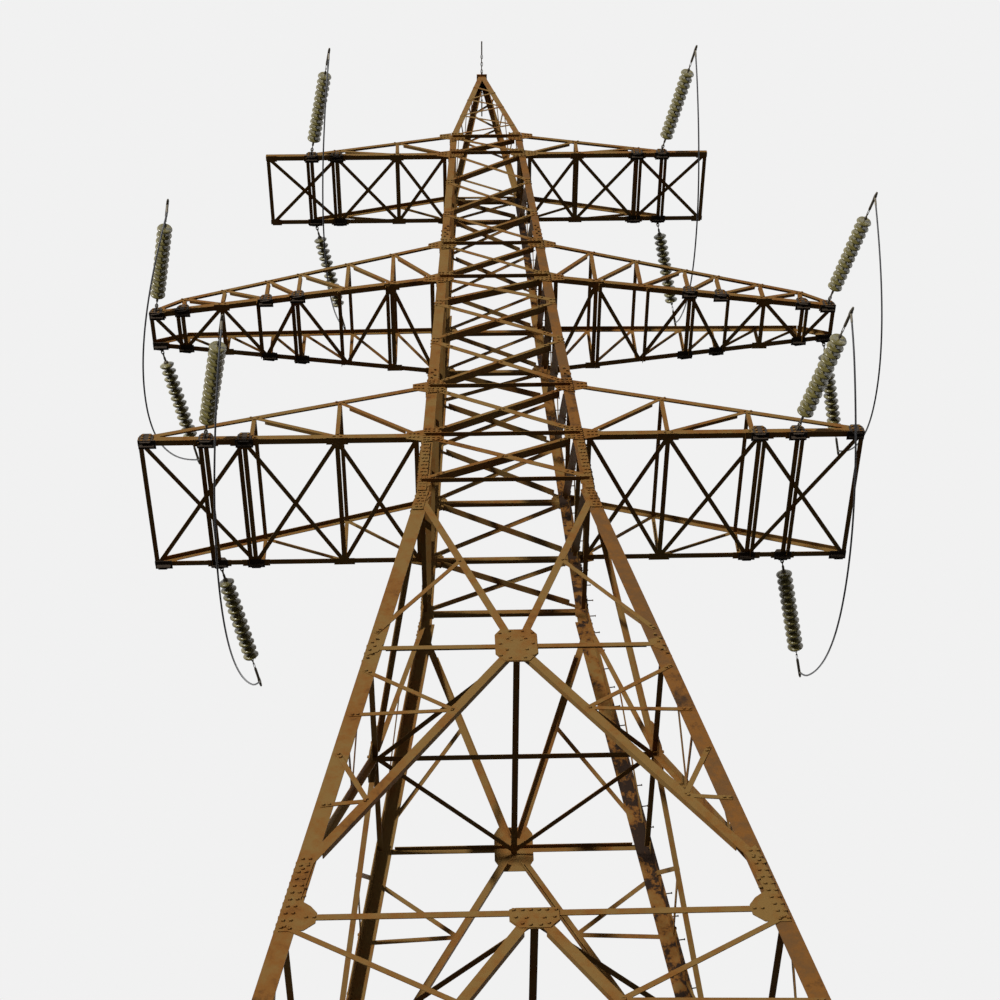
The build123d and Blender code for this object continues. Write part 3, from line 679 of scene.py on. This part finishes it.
# Angles of the strings; lengths of their hardware before and after the discs, in metres
YAW = math.radians(12.0)
DIP = math.radians(8.0)
LINK_IN = 0.250
LINK_OUT = 0.530
CLAMP_BACK = 0.060
HANG_OFF = {"bottom": 0.0017, "middle": 0.0064, "top": 0.0017}
HANG_OUT = 0.045
LUG_LEAN = math.radians(35)


def set_matrix(name, side, far):
    """Frame of one string: x along it, away from the arm."""
    arm = ARMS[name]
    y = -(chord_half(name, arm["hang"]) + HANG_OFF[name]) - HANG_OUT
    m = Matrix.Translation((AXIS_X + side * arm["hang"], y, arm["z"]))
    m = m @ Matrix.Rotation(-math.pi / 2 + YAW, 4, "Z") @ Matrix.Rotation(DIP, 4, "Y")
    if far:
        return Matrix.Scale(-1, 4, (0, 1, 0)) @ m
    return m


def disc_form(radius):
    """Glass skirt of one disc with the ribs under it, turned about x."""
    b = Builder()
    r = radius
    skirt = [(0.040, 0.030), (0.045, r * 0.5), (0.058, r * 0.82), (0.074, r), (0.088, r * 0.99),
             (0.092, r * 0.93), (0.112, r * 0.86), (0.098, r * 0.74), (0.114, r * 0.62), (0.098, r * 0.48),
             (0.104, 0.030)]
    b.turned(Matrix.Identity(4), skirt, 20)
    return mesh_object("disc form", b.verts, b.faces, None, True)


def cap_form():
    """Iron cap on the arm's side of a disc, and the pin beyond it."""
    b = Builder()
    b.turned(Matrix.Identity(4), [(-0.002, 0.014), (0.000, 0.030), (0.014, 0.041), (0.048, 0.045),
                                  (0.060, 0.050), (0.064, 0.030)], 14)
    b.turned(Matrix.Identity(4), [(0.075, 0.012), (0.126, 0.012)], 8)
    return mesh_object("cap form", b.verts, b.faces, None, True)


def lug_direction(far):
    """The jumper lugs point down and back under the arm."""
    across = math.sin(LUG_LEAN)
    return Vector((0, -across if far else across, -math.cos(LUG_LEAN)))


def clamp_at(name, side, far):
    """Where the jumper's lug leaves the clamp at a string's outer end."""
    cfg = bpy.context.scene.pylon_strings
    d = LINK_IN + cfg.discs * cfg.disc_pitch + LINK_OUT - CLAMP_BACK
    return set_matrix(name, side, far) @ Vector((d, 0, 0))


STEEL_NODES = ("leg_", "body_side", "lower_side", "level_frame", "arm_", "earth_wire_peak")
# Legs of the right side are the most rusted
LEG_PAINT = {"leg_near_right": "right leg", "leg_far_right": "far leg"}


class PYLON_OT_steel(bpy.types.Operator):
    """Paint the rolled steel members of the tower and its arms"""
    bl_idname = "pylon.steel"
    bl_label = "Painted steel"

    def execute(self, context):
        for name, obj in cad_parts.items():
            if name.startswith(STEEL_NODES):
                obj.data.materials.clear()
                obj.data.materials.append(material(LEG_PAINT.get(name, "steel")))
        return {"FINISHED"}


# Second bars beside the cross bars under the arms: how far under the chord's heel, and their section
PAIR_DROP = {"bottom": 0.0647, "middle": 0.0654, "top": 0.0647}
PAIR_BESIDE = 0.075
PAIR_SHORT = 0.004
PAIR_HALF = 0.030
PAIR_THICK = 0.010
PAIR_FLANGE = 0.050
PAIR_WEB = 0.008


class PYLON_OT_flanges(bpy.types.Operator):
    """Paired bars under the chords of the arms, and second flanges of the arms' web bars"""
    bl_idname = "pylon.flanges"
    bl_label = "Paired bars and flanges"

    def execute(self, context):
        b = Builder()
        for name, side, tail in every_end():
            top = ARMS[name]["z"] - PAIR_DROP[name]
            low = top - PAIR_THICK
            for x in ARMS[name]["pairs"]:
                reach = x + PAIR_BESIDE
                y = chord_half(name, reach) - PAIR_SHORT
                left = side * reach - PAIR_HALF
                b.box(TOWER, (left, -y, low), (side * reach + PAIR_HALF, y, top))
                b.box(TOWER, (left, -y, low - PAIR_FLANGE), (left + PAIR_WEB, y, low))
        b.make("arm_cross_pairs", material("steel"))
        b = Builder()
        for name, side, far, arm in every_arm():
            foot = arm.foot
            for x in arm.posts:
                q = arm.low(x)
                u = arm.upper(q[0])
                arm.rib(b, q, u, 1)
                arm.rib(b, foot, u, -1)
                foot = q
        b.make("arm_web_flanges", material("steel"))
        return {"FINISHED"}


# Cover plates of the gussets: level, half width, reach above and below
GUSSET_COVERS = (("gusset_1", 0.255, 0.345, 0.325), ("gusset_2", 0.245, 0.065, 0.215),
                 ("gusset_3", 0.265, 0.065, 0.235))
# Splice plates of the legs: lower end, upper end, width
SPLICES = ((WAIST + 0.240, WAIST + 1.240, 0.125), (WAIST + 0.02, WAIST + 0.222, 0.125),
           (WAIST - 0.52, WAIST - 0.02, 0.160))
SPLICE_IN = 0.006
# Node plates below and above the chord of an arm: in from the leg's edge, up from the level
NODE_PLATES = (((0.008, -0.20), (0.20, -0.17), (0.28, -0.10), (0.28, -0.042), (0.008, -0.042)),
               ((0.008, -0.028), (0.28, -0.028), (0.28, 0.08), (0.20, 0.17), (0.018, 0.20)))
# Cleats under an arm: half width, half depth, lower and upper face under the seat
CLEAT_BOXES = ((0.130, 0.075, -0.012, 0.0), (0.105, 0.008, -0.082, -0.012))
CLEAT_SEAT = 0.0760
CLEAT_INSET = 0.045
# Two uprights of the bracket on the right side's waist strut
BRACKET_X = (-0.055, 0.015)
BRACKET_WIDE = 0.040
BRACKET_UP = (-0.040, 0.46)
BRACKET_DEEP = (-0.0159, -0.0079)


class PYLON_OT_plates(bpy.types.Operator):
    """Cover plates at the gussets, splice plates at the waist, plates and cleats at the arms' nodes"""
    bl_idname = "pylon.plates"
    bl_label = "Cover plates"

    def execute(self, context):
        b = Builder()
        for turn in range(4):
            body, low = Side(turn, False), Side(turn, True)
            self.gussets(b, low)
            for s in (-1, 1):
                self.leg_plates(b, body, low, s)
            if turn == 1:
                self.bracket(b, body)
        b.make("tower_cover_plates", material("steel"))
        b = Builder()
        for name, side, far, arm in every_arm():
            for x in ARMS[name]["lumps"]:
                arm.plate(b, arm.low(min(x, ARMS[name]["tip"] - PLATE_SHORT)))
        # Brown black iron on the node plates: painted shade under the arms, with some dirt
        b.make("arm_node_plates", material("shade painted iron"))
        b = Builder()
        for name, side, tail in every_end():
            self.cleats(b, name, side)
        # Brown black iron on the cleats: painted shade under the arms, with some dirt
        b.make("arm_node_cleats", material("shade painted iron"))
        return {"FINISHED"}

    def gussets(self, b, low):
        n0 = low.skin + 0.0001
        for name, r, above, below in GUSSET_COVERS:
            z = LEVEL[name]
            outline = mirrored([(r * 0.6, -below), (r, -below * 0.5), (r, above * 0.7), (r * 0.75, above)])
            low.plate(b, [(x, z + y) for x, y in outline], n0, n0 + GUSSET_THICK)

    def leg_plates(self, b, body, low, s):
        n0, n1 = body.cover_seat, body.cover_seat + COVER_THICK
        for z0, z1, w in SPLICES:
            a, c = half(z0), half(z1)
            face = low if z0 < WAIST else body
            face.plate(b, [(s * (a - SPLICE_IN), z0), (s * (a - w), z0), (s * (c - w), z1),
                           (s * (c - SPLICE_IN), z1)], n0, n1)
        if body.inside:
            return
        for z in STRUTS[1:]:
            for outline in NODE_PLATES:
                body.plate(b, [(s * (half(z) - dx), z + dz) for dx, dz in outline], n0, n1)

    def bracket(self, b, body):
        """Short upright bracket at the middle of the waist strut."""
        z0, z1 = (LEVEL["strut"] + dz for dz in BRACKET_UP)
        for x in BRACKET_X:
            body.plate(b, [(x, z0), (x + BRACKET_WIDE, z0), (x + BRACKET_WIDE, z1), (x, z1)], *BRACKET_DEEP)

    def cleats(self, b, name, side):
        """Level gusset and upright cleat under the chord, where the paired bars and the strings hang."""
        spec = ARMS[name]
        top = spec["z"] - CLEAT_SEAT
        for lump in spec["lumps"]:
            x = min(lump, spec["tip"] - CLEAT_SHORT)
            y = chord_half(name, x) - CLEAT_INSET
            for s in (-1, 1):
                for w, d, z0, z1 in CLEAT_BOXES:
                    b.box(TOWER, (side * x - w, s * y - d, top + z0), (side * x + w, s * y + d, top + z1))


class PYLON_OT_bolts(bpy.types.Operator):
    """Bolt heads at the joints of the tower and its arms, and climbing bolts up one leg"""
    bl_idname = "pylon.bolts"
    bl_label = "Bolts"

    def execute(self, context):
        cfg = context.scene.pylon_steel
        head = bolt_form(cfg.bolt_radius, cfg.bolt_height)
        scatter("joint_bolts", bolt_places(), head, material("steel"))
        scatter("climbing_bolts", step_bolt_places(), step_form(), material("steel"))
        return {"FINISHED"}


class PYLON_OT_strings(bpy.types.Operator):
    """Glass disc strings with their caps, links, turnbuckles and clamps"""
    bl_idname = "pylon.strings"
    bl_label = "Insulator strings"

    def execute(self, context):
        cfg = context.scene.pylon_strings
        x1 = LINK_IN + cfg.discs * cfg.disc_pitch
        for name, side, tail in every_end():
            places = []
            iron = Builder()
            for far in (False, True):
                m = set_matrix(name, side, far)
                places += [m @ Matrix.Translation((LINK_IN + i * cfg.disc_pitch, 0, 0))
                           for i in range(cfg.discs)]
                self.fittings(iron, m, x1, clamp_at(name, side, far), lug_direction(far))
            disc = disc_form(cfg.disc_radius)
            glass = scatter("glass_discs_" + tail, places, disc, material("glass"))
            scatter("disc_caps_" + tail, places, cap_form(), material("iron"))
            iron.make("string_fittings_" + tail, material("iron"))
            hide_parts("strings_" + tail)
        return {"FINISHED"}

    def fittings(self, b, m, x1, clamp, down):
        """Shackle, link and socket at the arm; turnbuckle, dead end and jumper lug from x1 on."""
        b.box(m, (-0.044, -0.012, -0.028), (0.060, 0.012, 0.028))
        for x, flat in ((0.075, False), (0.135, True)):
            b.tube([m @ Vector((x + 0.042 * co, 0.022 * si * (not flat), 0.022 * si * flat))
                    for co, si in circle(14)], 0.009, 8, True)
        turnings = (
            (0.160, [(0, 0.012), (0.02, 0.020), (0.07, 0.020), (0.09, 0.012)], 10),
            (x1, [(0, 0.012), (0.01, 0.024), (0.05, 0.024), (0.07, 0.013)], 10),
            (x1 + 0.20, [(0, 0.013), (0.02, 0.022), (0.33, 0.022), (0.365, 0.014)], 12),
        )
        for x, profile, sides in turnings:
            b.turned(m @ Matrix.Translation((x, 0, 0)), profile, sides)
        b.box(m, (x1 + 0.06, -0.006, -0.020), (x1 + 0.12, 0.006, 0.020))
        # Turnbuckle: two side rods between threaded eyes
        for s in (-1, 1):
            b.box(m, (x1 + 0.11, s * 0.011 - 0.004, -0.006), (x1 + 0.215, s * 0.011 + 0.004, 0.006))
        b.box(m, (x1 + 0.42, -0.020, -0.022), (x1 + 0.50, 0.020, 0.022))
        b.tube([clamp, clamp + down * 0.07, clamp + down * LUG], 0.017, 10)


# Jumper loops, in metres: radius, lug and gap, straight end, sag; then the runs and fullness of the curve
JUMPER_R = 0.014
LUG = 0.150
LUG_GAP = 0.0003
STRAIGHT = 0.330
SAG = 1.750
RUNS = 18
FULLNESS = 2.1
# The left loops swing outward about the line through their ends, in degrees
SWING = {"bottom": 5.0, "middle": 14.0, "top": 5.0}


def jumper_points(name, side):
    """The loop's line from the near clamp to the far one."""
    end = clamp_at(name, side, False) + lug_direction(False) * (LUG + LUG_GAP)
    first = end + lug_direction(False) * STRAIGHT
    low = end.z - SAG
    pts = [end, first]
    n = RUNS - 2
    for i in range(1, n):
        u = -1 + 2 * i / n
        pts.append(Vector((end.x, first.y * -u, low + (first.z - low) * abs(u) ** FULLNESS)))
    pts += [Vector((first.x, -first.y, first.z)), Vector((end.x, -end.y, end.z))]
    swing = math.radians(SWING[name]) if side < 0 else 0.0
    return [Vector((end.x + (p.z - end.z) * math.sin(swing), p.y, end.z + (p.z - end.z) * math.cos(swing)))
            for p in pts]


class PYLON_OT_jumpers(bpy.types.Operator):
    """Jumper loops that hang under the arms from clamp to clamp"""
    bl_idname = "pylon.jumpers"
    bl_label = "Jumper loops"

    def execute(self, context):
        for name, side, tail in every_end():
            pts = jumper_points(name, side)
            data = bpy.data.curves.new("jumper_" + tail + "_line", "CURVE")
            data.dimensions = "3D"
            data.bevel_depth = JUMPER_R
            data.bevel_resolution = 3
            data.use_fill_caps = True
            spline = data.splines.new("NURBS")
            spline.points.add(len(pts) - 1)
            for point, p in zip(spline.points, pts):
                point.co = (*p, 1.0)
            spline.order_u = 3
            spline.use_endpoint_u = True
            spline.resolution_u = 6
            data.materials.append(material("cable"))
            obj = bpy.data.objects.new("jumper_loop_" + tail, data)
            context.scene.collection.objects.link(obj)
            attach(obj, "root")
            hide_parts("jumper_" + tail)
        return {"FINISHED"}


# Earth wire at the peak, in metres: lugs out from the axis, arch from the lugs, its foot and rise
EARTH_LUG = 0.1103
ARCH_OUT = 0.70
ARCH_FOOT = 0.06
ARCH_RISE = 0.37
ARCH_RUNS = 24


class PYLON_OT_earth_wire(bpy.types.Operator):
    """Chain links and dead ends for the earth wire at the peak, with the wire that arches over it"""
    bl_idname = "pylon.earth_wire"
    bl_label = "Earth-wire fittings"

    def execute(self, context):
        b = Builder()
        apex = LEVEL["apex"]
        z = apex - 0.020
        y = EARTH_LUG
        for s in (-1, 1):
            b.box(Matrix.Identity(4), (AXIS_X - 0.017, s * y, z - 0.017),
                  (AXIS_X + 0.017, s * (y + 0.05), z + 0.017))
            for k in range(5):
                flat = k % 2
                mid = y + 0.07 + k * 0.085
                b.tube([(AXIS_X + 0.020 * si * (not flat), s * (mid + 0.052 * co), z + 0.020 * si * flat)
                        for co, si in circle(12)], 0.007, 8, True)
            b.tube([(AXIS_X, s * (y + 0.46), z), (AXIS_X, s * (y + 0.76), z)], 0.015, 10)
            b.tube([(AXIS_X, s * (y + ARCH_OUT), z), (AXIS_X, s * (y + ARCH_OUT), z + 0.085)], 0.012, 8)
        # Wire arched over the peak from dead end to dead end
        e = y + ARCH_OUT
        arc = []
        for i in range(ARCH_RUNS + 1):
            yy = -e + 2 * e * (i / ARCH_RUNS)
            u = abs(yy) / e
            arc.append((AXIS_X, yy, apex + ARCH_FOOT + ARCH_RISE * (1 - u ** 2.0)))
        b.tube(arc, 0.007, 8)
        obj = b.make("earth_wire_dead_ends", material("iron"))
        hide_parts("earth_wire_fittings")
        return {"FINISHED"}


# Lamps: place, strength, angle across in degrees; all aim at the middle of the tower
LAMPS = (("key sun", (-26, -34, 20), 3.3, 3.0), ("fill sun", (34, -14, 30), 0.25, 30.0),
         ("back sun", (14, 40, 34), 0.7, 30.0))
AIM = Vector((0, 0, 18))
FLOOR_HALF = 400
FLOOR_BOUNCE = 0.15
FLOOR_GLOW = 0.50
WORLD_LIGHT = 0.11
WORLD_SEEN = 0.88
# Camera low in front of the tower, looking steeply up: yaw, pitch and roll in radians
CAMERA_TURN = (0.0421, 0.9165, -0.0476)
CAMERA_PLACE = (AXIS_X - 0.735, -16.524, WAIST - 20.1505)
CAMERA_LENS = 64.69


class PYLON_OT_stage(bpy.types.Operator):
    """Pale floor, soft studio light and the camera"""
    bl_idname = "pylon.stage"
    bl_label = "Stage"

    def execute(self, context):
        scene = context.scene
        cfg = scene.pylon_stage
        h = FLOOR_HALF
        floor = mesh_object("studio_floor", [(-h, -h, 0), (h, -h, 0), (h, h, 0), (-h, h, 0)], [(0, 1, 2, 3)])
        mat = bpy.data.materials.new("pale floor")
        mat.use_nodes = True
        shader = mat.node_tree.nodes["Principled BSDF"]
        # Pale to the camera, darker to bounced light, so that the undersides stay in shade as outdoors
        pale = linear(cfg.floor)
        ray = add_node(mat.node_tree, "ShaderNodeLightPath")
        tone = add_node(mat.node_tree, "ShaderNodeMix", {"data_type": "RGBA"},
                        {"Factor": ray.outputs["Is Camera Ray"]})
        tone.inputs[6].default_value = (*(v * FLOOR_BOUNCE for v in pale[:3]), 1)
        tone.inputs[7].default_value = pale
        mat.node_tree.links.new(tone.outputs[2], shader.inputs["Base Color"])
        shader.inputs["Roughness"].default_value = 0.9
        # A glow for the camera alone, so that the floor looks as pale as the backdrop
        glow = add_node(mat.node_tree, "ShaderNodeMath", {"operation": "MULTIPLY", 1: FLOOR_GLOW},
                        {0: ray.outputs["Is Camera Ray"]})
        shader.inputs["Emission Color"].default_value = pale
        mat.node_tree.links.new(glow.outputs[0], shader.inputs["Emission Strength"])
        floor.data.materials.append(mat)
        world = bpy.data.worlds.new("studio")
        scene.world = world
        world.use_nodes = True
        tree = world.node_tree
        background = tree.nodes["Background"]
        background.inputs["Color"].default_value = (1, 1, 1, 1)
        path = add_node(tree, "ShaderNodeLightPath")
        seen = add_node(tree, "ShaderNodeMath", {"operation": "MAXIMUM"},
                        {0: path.outputs["Is Camera Ray"], 1: path.outputs["Is Glossy Ray"]})
        straight = add_node(tree, "ShaderNodeMath", {"operation": "MAXIMUM"},
                            {0: seen.outputs[0], 1: path.outputs["Is Transmission Ray"]})
        # Pale to the camera, dim as a light
        strength = add_node(tree, "ShaderNodeMapRange", {"To Min": WORLD_LIGHT, "To Max": WORLD_SEEN},
                            {"Value": straight.outputs[0]})
        tree.links.new(strength.outputs[0], background.inputs["Strength"])
        for name, place, energy, angle in LAMPS:
            data = bpy.data.lights.new(name, "SUN")
            data.energy = energy
            data.angle = math.radians(angle)
            lamp = bpy.data.objects.new(name, data)
            scene.collection.objects.link(lamp)
            lamp.location = place
            lamp.rotation_euler = (AIM - Vector(place)).to_track_quat("-Z", "Y").to_euler()
        self.camera(scene)
        scene.view_settings.view_transform = "Standard"
        return {"FINISHED"}

    def camera(self, scene):
        (cy, sy), (cp, sp), (cr, sr) = ((math.cos(a), math.sin(a)) for a in CAMERA_TURN)
        forward = Vector((sy * cp, cy * cp, sp))
        right0 = Vector((cy, -sy, 0))
        up0 = Vector((-sy * sp, -cy * sp, cp))
        right = right0 * cr + up0 * sr
        up = up0 * cr - right0 * sr
        data = bpy.data.cameras.new("camera")
        data.lens = CAMERA_LENS
        data.sensor_width = 36.0
        data.clip_end = 2000
        camera = bpy.data.objects.new("camera", data)
        scene.collection.objects.link(camera)
        m = Matrix((right, up, -forward)).transposed().to_4x4()
        m.translation = CAMERA_PLACE
        camera.matrix_world = m
        scene.camera = camera


class PYLON_PT_panel(bpy.types.Panel):
    bl_label = "Lattice pylon"
    bl_idname = "PYLON_PT_panel"
    bl_space_type = "VIEW_3D"
    bl_region_type = "UI"
    bl_category = "Pylon"

    def draw(self, context):
        layout = self.layout
        for group in ("pylon_steel", "pylon_strings", "pylon_stage"):
            settings = getattr(context.scene, group)
            for key in settings.bl_rna.properties.keys():
                if key not in ("rna_type", "name"):
                    layout.prop(settings, key)
        for step in STEPS:
            layout.operator(step.bl_idname)


STEPS = (PYLON_OT_steel, PYLON_OT_flanges, PYLON_OT_plates, PYLON_OT_bolts, PYLON_OT_strings,
         PYLON_OT_jumpers, PYLON_OT_earth_wire, PYLON_OT_stage)
CLASSES = (SteelSettings, StringSettings, StageSettings) + STEPS + (PYLON_PT_panel,)


def register():
    for cls in CLASSES:
        bpy.utils.register_class(cls)
    bpy.types.Scene.pylon_steel = bpy.props.PointerProperty(type=SteelSettings)
    bpy.types.Scene.pylon_strings = bpy.props.PointerProperty(type=StringSettings)
    bpy.types.Scene.pylon_stage = bpy.props.PointerProperty(type=StageSettings)


def unregister():
    for key in ("pylon_steel", "pylon_strings", "pylon_stage"):
        delattr(bpy.types.Scene, key)
    for cls in reversed(CLASSES):
        bpy.utils.unregister_class(cls)


def main():
    register()
    for step in STEPS:
        group, action = step.bl_idname.split(".")
        getattr(getattr(bpy.ops, group), action)()


if __name__ == "__main__":
    main()
